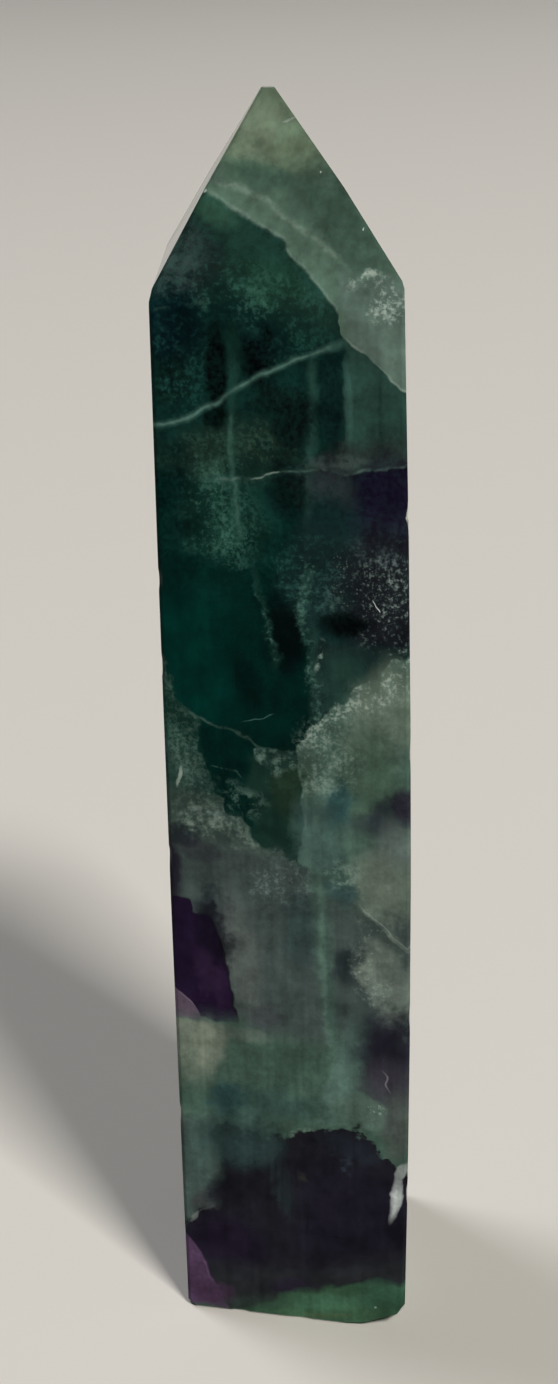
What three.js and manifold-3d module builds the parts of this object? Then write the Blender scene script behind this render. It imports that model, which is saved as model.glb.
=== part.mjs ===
// Fluorite obelisk: one piece of banded stone, ground and polished by hand into a four-sided
// tower with a pyramid point. Millimetres, +Z up. It stands on z = 0 with its broad front side
// towards -Y, and the origin is under the middle of its box.
//
// The stone is cut here as it is at the wheel: a rough block loses everything outside each flat.
// Hand-held sides come out very slightly crowned, so each side is a run of narrow flats that
// follow one shallow curve.
import * as THREE from "three";
import { mergeVertices } from "three/addons/utils/BufferGeometryUtils.js";
import Module from "manifold-3d";

// ---- Driving dimensions, mm ----

const HEIGHT = 110; // base to the small flat on the tip
const SHOULDER_Z = 92; // top of the stretch that the four tall sides are crowned over
const POINT_Z = 89; // start of the stretch that the four point facets are crowned over

// Apex that the four point facets would meet in if the tip weren't blunt.
const APEX = new THREE.Vector3(-0.7, 0.4, 110.77);

// Sides in order round the stone. azimuth is the way a side faces, in degrees from +X. reach is
// its distance from the axis at mid height, without the crown. taper is how far it draws in per mm
// of height. The plan is a little skewed: front and back are parallel, left and right lean over.
const TALL_SIDES = [
  { azimuth: 190.8, reach: 10.18, taper: 0.0038, crown: 0.12 }, // left
  { azimuth: 270, reach: 10.41, taper: 0, crown: 0.15 }, // front
  { azimuth: 368.8, reach: 10.21, taper: 0.0025, crown: 0.5 }, // right
  { azimuth: 450, reach: 10.41, taper: 0, crown: 0.15 }, // back
];

// Facets of the point, in the same order. Each one's reach follows from its taper and the apex.
// The right one was ground turned towards the back.
const POINT_FACETS = [
  { azimuth: 191.4, taper: 0.6, crown: 0.27 }, // left
  { azimuth: 269.7, taper: 0.643, crown: 0.2 }, // front
  { azimuth: 379, taper: 0.553, crown: 0.61 }, // right
  { azimuth: 450, taper: 0.643, crown: 0.2 }, // back
];

const TALL_ARRIS = 0.45; // width of the bevel along each tall edge
const POINT_ARRIS = 0.35; // and along each edge of the point
const SHOULDER_ARRIS = 0.9; // the shoulder edges are rubbed softer
const BASE_ARRIS = 0.25; // bevel round the foot

// Wear on the foot: each flat faces azimuth and elevation, and takes depth off a bottom corner,
// which is named by the two tall sides that meet there.
const FOOT_WEAR = [
  { corner: "frontRight", azimuth: 339, elevation: -28, depth: 1.44 },
  { corner: "frontRight", azimuth: 305, elevation: -52, depth: 1.68 },
  { corner: "frontRight", azimuth: 287, elevation: -63, depth: 0.89 },
  { corner: "frontLeft", azimuth: 228, elevation: -38, depth: 0.51 },
];

const FLATS_PER_SIDE = 6; // flats that stand for one tall side's crown
const FLATS_PER_FACET = 3; // and for one point facet's
const BLOCK = 4 * HEIGHT; // edge of the wheel block that takes the waste, larger than the stone

// Pale sea-green stone under a hand polish.
const STONE = { color: 0x3f5a50, roughness: 0.12, metalness: 0 };

// ---- Solids ----

const wasm = await Module();
wasm.setup();

/** A closed three.js geometry as a solid that can be cut. */
function solidFrom(geometry) {
  const bare = geometry.clone();
  bare.deleteAttribute("normal");
  bare.deleteAttribute("uv");
  const merged = mergeVertices(bare);
  return new wasm.Manifold(
    new wasm.Mesh({
      numProp: 3,
      vertProperties: merged.getAttribute("position").array,
      triVerts: new Uint32Array(merged.getIndex().array),
    }),
  );
}

/** A cut solid as a three.js geometry with flat-shaded faces. */
function geometryFrom(solid) {
  const mesh = solid.getMesh();
  const indexed = new THREE.BufferGeometry();
  indexed.setAttribute("position", new THREE.BufferAttribute(mesh.vertProperties, 3));
  indexed.setIndex(new THREE.BufferAttribute(mesh.triVerts, 1));
  const faceted = indexed.toNonIndexed();
  faceted.computeVertexNormals();
  return faceted;
}

// ---- Flats, each a THREE.Plane whose normal points out of the stone ----

/** Unit vector that faces azimuth and elevation, in degrees. */
function facing(azimuth, elevation) {
  const a = THREE.MathUtils.degToRad(azimuth);
  const e = THREE.MathUtils.degToRad(elevation);
  return new THREE.Vector3(Math.cos(a) * Math.cos(e), Math.sin(a) * Math.cos(e), Math.sin(e));
}

/** The flats of one crowned side, from low to high, tangent to the curve of its reach. */
function crownedFlats(side, axis, low, high, count) {
  const half = (high - low) / 2;
  const middle = (high + low) / 2;
  const out = facing(side.azimuth, 0);
  const flats = [];
  for (let i = 0; i < count; i++) {
    const t = -1 + (2 * i + 1) / count; // -1 at the low end, 1 at the high end
    const reach = side.reach - side.taper * t * half + side.crown * (1 - t * t);
    const slope = -side.taper - (2 * side.crown * t) / half;
    const normal = new THREE.Vector3(out.x, out.y, -slope).normalize();
    const touch = new THREE.Vector3(axis.x + out.x * reach, axis.y + out.y * reach, middle + t * half);
    flats.push(new THREE.Plane().setFromNormalAndCoplanarPoint(normal, touch));
  }
  return flats;
}

/** The flat that bevels the edge between two flats, width mm across. */
function bevel(a, b, width) {
  const sum = a.normal.clone().add(b.normal);
  const span = sum.length(); // twice the cosine of half the angle between them
  const inset = (width / 2) * Math.tan(Math.acos(span / 2));
  return new THREE.Plane(sum.divideScalar(span), (a.constant + b.constant) / span + inset);
}

/** The point where three flats meet. */
function meeting(a, b, c) {
  const bc = b.normal.clone().cross(c.normal);
  const ca = c.normal.clone().cross(a.normal);
  const ab = a.normal.clone().cross(b.normal);
  const scale = -1 / a.normal.dot(bc);
  return bc
    .multiplyScalar(a.constant)
    .addScaledVector(ca, b.constant)
    .addScaledVector(ab, c.constant)
    .multiplyScalar(scale);
}

/** Bevels between neighbouring sides, flat by flat, all the way round. */
function arrisFlats(sides, width) {
  return sides.flatMap((flats, i) => {
    const next = sides[(i + 1) % sides.length];
    return flats.map((flat, k) => bevel(flat, next[k], width));
  });
}

/** What the wheel takes away outside one flat. */
function waste(flat) {
  const block = new THREE.BoxGeometry(BLOCK, BLOCK, BLOCK);
  block.translate(0, 0, BLOCK / 2);
  const turn = new THREE.Quaternion().setFromUnitVectors(new THREE.Vector3(0, 0, 1), flat.normal);
  const onFlat = flat.coplanarPoint(new THREE.Vector3());
  block.applyMatrix4(new THREE.Matrix4().compose(onFlat, turn, new THREE.Vector3(1, 1, 1)));
  return solidFrom(block);
}

// ---- The stone ----

/** Every flat on the finished stone. */
function obeliskFlats() {
  const axis = new THREE.Vector2(0, 0);
  const tall = TALL_SIDES.map((side) => crownedFlats(side, axis, 0, SHOULDER_Z, FLATS_PER_SIDE));
  const middle = (POINT_Z + HEIGHT) / 2;
  const point = POINT_FACETS.map((facet) => {
    const side = { ...facet, reach: facet.taper * (APEX.z - middle) };
    return crownedFlats(side, APEX, POINT_Z, HEIGHT, FLATS_PER_FACET);
  });
  const base = new THREE.Plane(new THREE.Vector3(0, 0, -1), 0);
  const tip = new THREE.Plane(new THREE.Vector3(0, 0, 1), -HEIGHT);
  const [left, front, right] = tall.map((flats) => flats[0]);
  const corners = { frontLeft: meeting(left, front, base), frontRight: meeting(front, right, base) };
  const wear = FOOT_WEAR.map(({ corner, azimuth, elevation, depth }) => {
    const normal = facing(azimuth, elevation);
    return new THREE.Plane(normal, depth - normal.dot(corners[corner]));
  });
  return [
    ...tall.flat(),
    ...point.flat(),
    ...arrisFlats(tall, TALL_ARRIS),
    ...arrisFlats(point, POINT_ARRIS),
    ...tall.map((flats, i) => bevel(flats.at(-1), point[i][0], SHOULDER_ARRIS)),
    ...tall.map((flats) => bevel(flats[0], base, BASE_ARRIS)),
    ...wear,
    base,
    tip,
  ];
}

/** The stone in one piece, with its box centred on the origin. */
function obelisk() {
  const rough = new THREE.BoxGeometry(HEIGHT, HEIGHT, 2 * HEIGHT);
  const stone = obeliskFlats().reduce((left, flat) => left.subtract(waste(flat)), solidFrom(rough));
  const geometry = geometryFrom(stone);
  geometry.computeBoundingBox();
  const centre = geometry.boundingBox.getCenter(new THREE.Vector3());
  return geometry.translate(-centre.x, -centre.y, 0);
}

const mesh = new THREE.Mesh(obelisk(), new THREE.MeshStandardMaterial(STONE));
mesh.name = "obelisk";

const group = new THREE.Group();
group.add(mesh);

export default group;
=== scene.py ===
"""Fluorite obelisk: the finish of the stone, and the floor, lights and camera around it.

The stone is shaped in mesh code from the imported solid, and its banding is painted by one procedural
material that works in millimetres on the stone. Lengths are millimetres unless a name says
otherwise, and MM turns them into metres.
"""

import logging
import math
from dataclasses import dataclass
from enum import Enum
from typing import ClassVar, Protocol

import bmesh
import bpy
from bmesh.types import BMEdge, BMesh, BMFace
from bpy.types import Material, Node, NodeSocket, NodeTree, Object
from mathutils import Matrix, Vector, noise


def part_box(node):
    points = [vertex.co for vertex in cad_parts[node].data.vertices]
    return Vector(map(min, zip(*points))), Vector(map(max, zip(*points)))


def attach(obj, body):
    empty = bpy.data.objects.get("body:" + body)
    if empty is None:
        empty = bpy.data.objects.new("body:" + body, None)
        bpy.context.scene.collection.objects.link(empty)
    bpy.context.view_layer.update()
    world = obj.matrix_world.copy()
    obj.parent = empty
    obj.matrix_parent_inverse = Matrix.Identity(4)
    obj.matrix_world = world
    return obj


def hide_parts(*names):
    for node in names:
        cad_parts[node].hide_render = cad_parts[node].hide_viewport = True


MM = 0.001
NODE = "obelisk"
BODY = "root"

log = logging.getLogger("obelisk")
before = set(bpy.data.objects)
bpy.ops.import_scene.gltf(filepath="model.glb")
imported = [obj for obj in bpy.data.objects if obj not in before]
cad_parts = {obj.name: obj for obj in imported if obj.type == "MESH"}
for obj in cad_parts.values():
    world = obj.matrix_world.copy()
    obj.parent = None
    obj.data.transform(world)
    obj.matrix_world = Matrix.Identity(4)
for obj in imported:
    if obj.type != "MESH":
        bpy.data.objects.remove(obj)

Pair = tuple[float, float]
Triple = tuple[float, float, float]
Colour = tuple[float, float, float, float]
Value = float | Pair | Triple | Colour | NodeSocket
Place = tuple[NodeSocket, NodeSocket]  # mm across and mm up


def srgb(code: str) -> Colour:
    """Turns a colour into the linear one that a shader takes.

    Args:
        code: sRGB colour as #rrggbb.

    Returns:
        Linear red, green, blue and an alpha of 1.
    """
    parts = [int(code[i : i + 2], 16) / 255 for i in (1, 3, 5)]
    linear = [p / 12.92 if p <= 0.04045 else ((p + 0.055) / 1.055) ** 2.4 for p in parts]
    return (*linear, 1.0)


def add(
    tree: NodeTree,
    kind: str,
    inputs: dict[str | int, Value] | tuple[Value, ...] = (),
    **settings: str | NodeTree,
) -> Node:
    """Adds one node to a tree, with its settings and links.

    Args:
        tree: the tree it goes in.
        kind: the node's type name.
        inputs: a value, or an output to link, for each input: in order, or by name or number.
        settings: the node's own properties.

    Returns:
        The new node.
    """
    node = tree.nodes.new(kind)
    for name, value in settings.items():
        setattr(node, name, value)
    for key, value in inputs.items() if isinstance(inputs, dict) else enumerate(inputs):
        if isinstance(value, NodeSocket):
            tree.links.new(value, node.inputs[key])
        else:
            node.inputs[key].default_value = value
    return node


# ---- How the banding is described ----


class Along(Enum):
    """Which way a line runs over the front of the stone."""

    ACROSS = "across"  # a height for each place across
    UP = "up"  # a place across for each height


class Keep(Enum):
    """Which side of a line a region keeps."""

    OVER = 1  # above a line that runs across, or right of one that runs up
    UNDER = -1


class Grain(Enum):
    """The noise that breaks up a marking."""

    LUMPS = "lumps"  # a few millimetres across
    CLOUDS = "clouds"  # as large, but elsewhere
    GRIT = "grit"  # under a millimetre, gathered where the clouds are
    DUST = "dust"  # finer, and gathered likewise
    FIBRES = "fibres"  # thin and upright
    SPECKS = "specks"  # small round dots


Grains = dict[Grain, NodeSocket]


@dataclass
class Pattern:
    """A point's place in the banding, as sockets of one node tree.

    Attributes:
        tree: the node tree.
        fine: place on the front side, which wavers a little.
        rough: the same, but ragged and frayed.
        place: the fine place as one vector, with 1 as the third part.
        rough_place: the rough one as one vector.
        grains: a noise from 0 to 1 for each grain.
        SLIVER: share of a colour that makes the next bed wait, far too small to see.
    """

    tree: NodeTree
    fine: Place
    rough: Place
    place: NodeSocket
    rough_place: NodeSocket
    grains: Grains
    SLIVER: ClassVar[float] = 1e-9

    def after(self, colour: NodeSocket) -> "Pattern":
        """Gives the same pattern again, worked out only once a colour is.

        The renderer has room for only so many masks at a time, and works out all that it can before it
        mixes any. A sliver of the colour makes the next bed wait its turn.

        Args:
            colour: the colour to wait for.

        Returns:
            The pattern for the next bed.
        """
        sliver = add(self.tree, "ShaderNodeRGBToBW", (colour,)).outputs[0]
        late = []
        for socket in (*self.fine, *self.rough):
            inputs = (sliver, self.SLIVER, socket)
            late.append(add(self.tree, "ShaderNodeMath", inputs, operation="MULTIPLY_ADD").outputs[0])
        return pattern(self.tree, (late[0], late[1]), (late[2], late[3]), self.grains)


def pattern(tree: NodeTree, fine: Place, rough: Place, grains: Grains) -> Pattern:
    """Makes a pattern from its fine and its rough place.

    Args:
        tree: the node tree.
        fine: the fine place.
        rough: the rough place.
        grains: the noises.

    Returns:
        The pattern, with both places as vectors too.
    """
    places = [add(tree, "ShaderNodeCombineXYZ", (*pair, 1.0)).outputs[0] for pair in (fine, rough)]
    return Pattern(tree, fine, rough, places[0], places[1], grains)


class Marking(Protocol):
    """Anything that covers a part of the stone."""

    def mask(self, p: Pattern, full: float) -> NodeSocket:
        """Gives how much of each point is covered, from 0 to a full cover."""


@dataclass(frozen=True)
class Line:
    """A line over the front of the stone, smooth through a few points.

    Attributes:
        points: places along the line in mm, with the one that it runs along first.
        along: which way it runs.
        rough: whether it is ragged and frayed.
    """

    points: tuple[Pair, ...]
    along: Along = Along.ACROSS
    rough: bool = False

    def off(self, p: Pattern) -> NodeSocket:
        """Works out how far each point lies over the line.

        Args:
            p: the pattern of the tree that it is drawn in.

        Returns:
            A socket in mm, negative under the line.
        """
        run, rise = p.rough if self.rough else p.fine
        if self.along is Along.UP:
            run, rise = rise, run
        curve = add(p.tree, "ShaderNodeFloatCurve", {"Value": run})
        curve.mapping.use_clip = False
        curve.mapping.extend = "HORIZONTAL"
        shape = curve.mapping.curves[0]
        for i, (place, height) in enumerate(self.points):
            at = (place, height)
            point = shape.points[i] if i < 2 else shape.points.new(*at)  # a new curve has two points
            point.location = at
            point.handle_type = "AUTO_CLAMPED"
        curve.mapping.update()
        return add(p.tree, "ShaderNodeMath", (rise, curve.outputs[0]), operation="SUBTRACT").outputs[0]


@dataclass(frozen=True)
class Side:
    """One side of a line.

    Attributes:
        line: the line.
        keep: the side of it that is kept.
        soft: mm over which it fades.
    """

    line: Line
    keep: Keep
    soft: float = 0.3

    def mask(self, p: Pattern, full: float) -> NodeSocket:
        """Gives the full cover on the kept side and 0 on the other.

        Args:
            p: the pattern of the tree that it is drawn in.
            full: the full cover.

        Returns:
            The mask's socket.
        """
        edge = self.soft / 2 * self.keep.value
        step = (self.line.off(p), -edge, edge, 0.0, full)
        return add(p.tree, "ShaderNodeMapRange", step, interpolation_type="SMOOTHSTEP").outputs[0]


@dataclass(frozen=True)
class Region:
    """What several lines shut in.

    Attributes:
        sides: the sides that it keeps.
    """

    sides: tuple[Side, ...]

    def mask(self, p: Pattern, full: float) -> NodeSocket:
        """Gives the full cover inside every side and 0 outside.

        Args:
            p: the pattern of the tree that it is drawn in.
            full: the full cover.

        Returns:
            The mask's socket.
        """
        inside = self.sides[0].mask(p, full)
        for side in self.sides[1:]:
            both = (inside, side.mask(p, 1.0))
            inside = add(p.tree, "ShaderNodeMath", both, operation="MULTIPLY").outputs[0]
        return inside


@dataclass(frozen=True)
class Patch:
    """An oval blot.

    Attributes:
        centre: mm across and up.
        radii: half its width and half its height in mm, before it is turned.
        turn: degrees that it is turned by, to the left.
        soft: share of its radius over which it fades.
    """

    centre: Pair
    radii: Pair
    turn: float = 0.0
    soft: float = 0.6
    SMALL: ClassVar[float] = 0.9  # blots no wider than this, mm, keep a clean rim

    def mask(self, p: Pattern, full: float) -> NodeSocket:
        """Gives the full cover in the middle and 0 past the rim, which is ragged unless the blot is small.

        Args:
            p: the pattern of the tree that it is drawn in.
            full: the full cover.

        Returns:
            The mask's socket.
        """
        c, s = math.cos(math.radians(self.turn)), math.sin(math.radians(self.turn))
        place = p.rough_place if min(self.radii) > self.SMALL else p.place
        parts = []
        for (right, up), radius in zip(((c, s), (-s, c)), self.radii):
            home = right * self.centre[0] + up * self.centre[1]
            inputs = (place, (right / radius, up / radius, -home / radius))
            part = add(p.tree, "ShaderNodeVectorMath", inputs, operation="DOT_PRODUCT")
            parts.append(part.outputs["Value"])
        away = add(p.tree, "ShaderNodeMath", (parts[0], parts[0]), operation="MULTIPLY").outputs[0]
        away = (parts[1], parts[1], away)
        away = add(p.tree, "ShaderNodeMath", away, operation="MULTIPLY_ADD").outputs[0]
        step = (away, (1 + self.soft / 2) ** 2, (1 - self.soft / 2) ** 2, 0.0, full)
        return add(p.tree, "ShaderNodeMapRange", step, interpolation_type="SMOOTHSTEP").outputs[0]


@dataclass(frozen=True)
class Vein:
    """A band that follows a line.

    Attributes:
        line: the middle of the band.
        width: its full width in mm.
        ends: where it starts and stops along the line, in mm.
        taper: mm over which it fades at its ends.
    """

    line: Line
    width: float
    ends: Pair
    taper: float = 0.8

    def mask(self, p: Pattern, full: float) -> NodeSocket:
        """Gives the full cover along the line and 0 past its width and ends.

        Args:
            p: the pattern of the tree that it is drawn in.
            full: the full cover.

        Returns:
            The mask's socket.
        """
        run = p.fine[0] if self.line.along is Along.ACROSS else p.fine[1]
        middle, half = (self.ends[0] + self.ends[1]) / 2, abs(self.ends[1] - self.ends[0]) / 2
        past = add(p.tree, "ShaderNodeMath", (run, middle), operation="SUBTRACT").outputs[0]
        masks = []
        for gap, gone, whole, cover in (
            (self.line.off(p), self.width / 2, 0.0, full),
            (past, half + self.taper / 2, half - self.taper / 2, 1.0),
        ):
            size = add(p.tree, "ShaderNodeMath", (gap,), operation="ABSOLUTE").outputs[0]
            step = (size, gone, whole, 0.0, cover)
            mask = add(p.tree, "ShaderNodeMapRange", step, interpolation_type="SMOOTHSTEP")
            masks.append(mask.outputs[0])
        return add(p.tree, "ShaderNodeMath", tuple(masks), operation="MULTIPLY").outputs[0]


@dataclass(frozen=True)
class Layer:
    """One marking, as it is laid over those before it.

    Attributes:
        tint: its colour.
        marking: what it covers.
        strength: how much of what is under it it hides.
        grain: the noise that breaks it up, if any.
        cover: share of it that the grain leaves.
        crisp: how sharp the grain's edges are, from 0 to 1.
        HAZY: half the range of noise over which the softest grain fades.
        CRISPEST: the same for the crispest one.
    """

    tint: str
    marking: Marking
    strength: float = 1.0
    grain: Grain | None = None
    cover: float = 0.5
    crisp: float = 0.5
    HAZY: ClassVar[float] = 0.26
    CRISPEST: ClassVar[float] = 0.01

    def mask(self, p: Pattern) -> NodeSocket:
        """Gives how much of each point this layer hides.

        Args:
            p: the pattern of the tree that it is drawn in.

        Returns:
            The mask's socket.
        """
        mask = self.marking.mask(p, self.strength)
        if self.grain is None:
            return mask
        soft = (self.HAZY - self.CRISPEST) * (1 - self.crisp) + self.CRISPEST
        edge = 1 - self.cover
        step = (p.grains[self.grain], edge - soft, edge + soft)
        left = add(p.tree, "ShaderNodeMapRange", step, interpolation_type="SMOOTHSTEP").outputs[0]
        return add(p.tree, "ShaderNodeMath", (mask, left), operation="MULTIPLY").outputs[0]


@dataclass(frozen=True)
class Bed:
    """Layers that lie close together and share a node group.

    Attributes:
        name: what they are.
        layers: the layers, with the lowest first.
    """

    name: str
    layers: tuple[Layer, ...]

    def group(self) -> NodeTree:
        """Makes the node group that lays them over a colour.

        Returns:
            A group with the parts of a pattern and a colour as inputs, and the new colour as output.
        """
        tree = bpy.data.node_groups.new(self.name, "ShaderNodeTree")
        floats = ["across", "up", "rough across", "rough up", *(grain.value for grain in Grain)]
        kinds = [(name, "NodeSocketFloat") for name in floats]
        kinds += [("place", "NodeSocketVector"), ("rough place", "NodeSocketVector")]
        for name, kind in (*kinds, ("colour", "NodeSocketColor")):
            tree.interface.new_socket(name, in_out="INPUT", socket_type=kind)
        tree.interface.new_socket("colour", in_out="OUTPUT", socket_type="NodeSocketColor")
        given = add(tree, "NodeGroupInput").outputs
        grains = {grain: given[grain.value] for grain in Grain}
        fine, rough = (given["across"], given["up"]), (given["rough across"], given["rough up"])
        p = Pattern(tree, fine, rough, given["place"], given["rough place"], grains)
        colour = given["colour"]
        for layer in self.layers:
            inputs = {0: layer.mask(p), 6: colour, 7: srgb(layer.tint)}
            colour = add(tree, "ShaderNodeMix", inputs, data_type="RGBA").outputs[2]
        add(tree, "NodeGroupOutput", (colour,))
        return tree

    def lay(self, p: Pattern, colour: NodeSocket | Colour) -> NodeSocket:
        """Lays them over a colour in a material.

        Args:
            p: the material's pattern.
            colour: what lies under them.

        Returns:
            The colour with them on it.
        """
        inputs = {"across": p.fine[0], "up": p.fine[1], "rough across": p.rough[0], "rough up": p.rough[1]}
        inputs |= {"place": p.place, "rough place": p.rough_place, "colour": colour}
        inputs |= {grain.value: socket for grain, socket in p.grains.items()}
        return add(p.tree, "ShaderNodeGroup", inputs, node_tree=self.group()).outputs[0]


def across(*points: Pair, rough: bool = False) -> Line:
    """Makes a line that runs across, from (across, up) points."""
    return Line(points, Along.ACROSS, rough)


def upward(*points: Pair, rough: bool = False) -> Line:
    """Makes a line that runs up, from (up, across) points."""
    return Line(points, Along.UP, rough)


def over(line: Line, soft: float = 0.3) -> Side:
    """Keeps what is above or right of a line."""
    return Side(line, Keep.OVER, soft)


def under(line: Line, soft: float = 0.3) -> Side:
    """Keeps what is below or left of a line."""
    return Side(line, Keep.UNDER, soft)


def within(*sides: Side) -> Region:
    """Keeps what lies inside all of the sides."""
    return Region(sides)


# ---- The banding, from the point down, in mm across and up ----

POINT_BAND_FOOT = across(
    (-4.7, 102.7), (-2.4, 101.6), (0, 100.5), (1.6, 99.5), (3, 98.0), (4.2, 97.1), (5.5, 95.8),
    (6.6, 94.6), (7.1, 92.7), (9, 91.0), (12.4, 88.0),
)
POINT_BAND_HEAD = across(
    (-4.2, 104.3), (-1, 103.0), (1.5, 101.4), (3.8, 100.4), (5.6, 99.0), (7.4, 97.2), rough=True,
)
MILK_HEAD = across((6.5, 97.4), (8, 96.6), (9.5, 97.2), (12.5, 96.8), rough=True)
MILK_SIDE = upward((87, 7.6), (92, 7.3), (94, 7.0), (97, 6.4), rough=True)
UPPER_VEIN = across(
    (-8.6, 85.15), (-6.2, 85.75), (-5, 86.2), (-3.5, 87.05), (-2, 88.0), (0, 89.2), (2, 90.25),
    (4, 91.05), (6, 91.8), (7.5, 92.25),
)
LEVEL_VEIN = across(
    (-5.8, 81.1), (-3, 81.15), (0, 81.4), (1.8, 81.85), (3.2, 82.0), (5, 82.15), (7, 82.0), (9, 82.2),
    (12.4, 82.7),
)
MIDDLE_STREAK = upward(
    (65, 1.1), (67, 0.9), (69, 0.6), (70.5, 0.55), (72, 0.1), (74, -0.35), (76, -0.3), rough=True,
)
RIGHT_STREAK = upward((60, 4.4), (64, 4.6), (66, 4.4), (68, 4.0), (70, 3.6), (76, 3.6), rough=True)
RISING_EDGE = across(
    (2.4, 57.9), (3.2, 58.8), (4, 60.1), (5, 61.4), (6, 62.4), (7.2, 63.2), (8, 64.2), (8.8, 64.4),
    (9.25, 63.2), (9.7, 64.0), (10.2, 65.4), (11, 66.3), (12.4, 66.9), rough=True,
)
WEDGE_LEFT = upward(
    (47.6, 3.0), (48.8, 0.6), (49.9, -0.7), (51, -1.7), (52.1, -2.8), (53.1, -4.0), (55, -4.9),
    (57, -5.2), (59.5, -5.3), (61, -6.0), (62.5, -7.3), (66, -8.4), (68, -9.6), rough=True,
)
WEDGE_RIGHT = upward(
    (48, 2.9), (49, 3.1), (50.5, 3.3), (52, 3.6), (53.4, 3.25), (54.7, 3.45), (56, 3.0), (58.4, 2.8),
)
SLATE_HEAD = across(
    (-5.4, 20.2), (-4.2, 20.7), (-2.4, 20.5), (-0.6, 19.95), (1.8, 20.0), (2.7, 20.7), (5, 21.0),
    (7, 21.4), (8, 21.2), (9.2, 20.2), (10.6, 18.8), (11.4, 18.1), (12.4, 17.2), rough=True,
)
SLATE_LEFT = upward(
    (7, -9.6), (10, -8.3), (11.3, -6.4), (12.4, -5.0), (13.4, -5.8), (14.2, -5.2), (17, -4.9), (21, -5.4),
    rough=True,
)
LILAC_SIDE = upward((0, -4.4), (2.5, -5.6), (4, -6.15), (6, -7.0), (7.8, -8.0), (9, -9.6))
# Top of the green foot strip, which is partly the stone's own green zone and partly painted glow: floor
# light shining up through the thin base.
FOOT_GREEN_AND_GLOW = across(
    (-3.5, 0.4), (-2, 1.1), (0, 2.2), (2, 2.9), (4, 3.4), (6, 4.1), (8, 4.7), (10, 5.1), (12.4, 5.7),
    rough=True,
)
WINDOW_SIDE = upward((31, -2.8), (33, -3.05), (35.5, -3.4), (38, -3.9), (40.2, -4.35), (42.4, -5.2))
WINDOW_HEAD = across((-8.8, 43.8), (-6.7, 43.6), (-6.3, 42.2), (-5, 42.0), (-4.2, 40.6))
WINDOW_FOOT = across((-8.8, 32.1), (-6.2, 31.9), (-4, 31.45), (-2.8, 31.5))

DEEP = "#01231f"  # the clear crystal under everything

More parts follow.
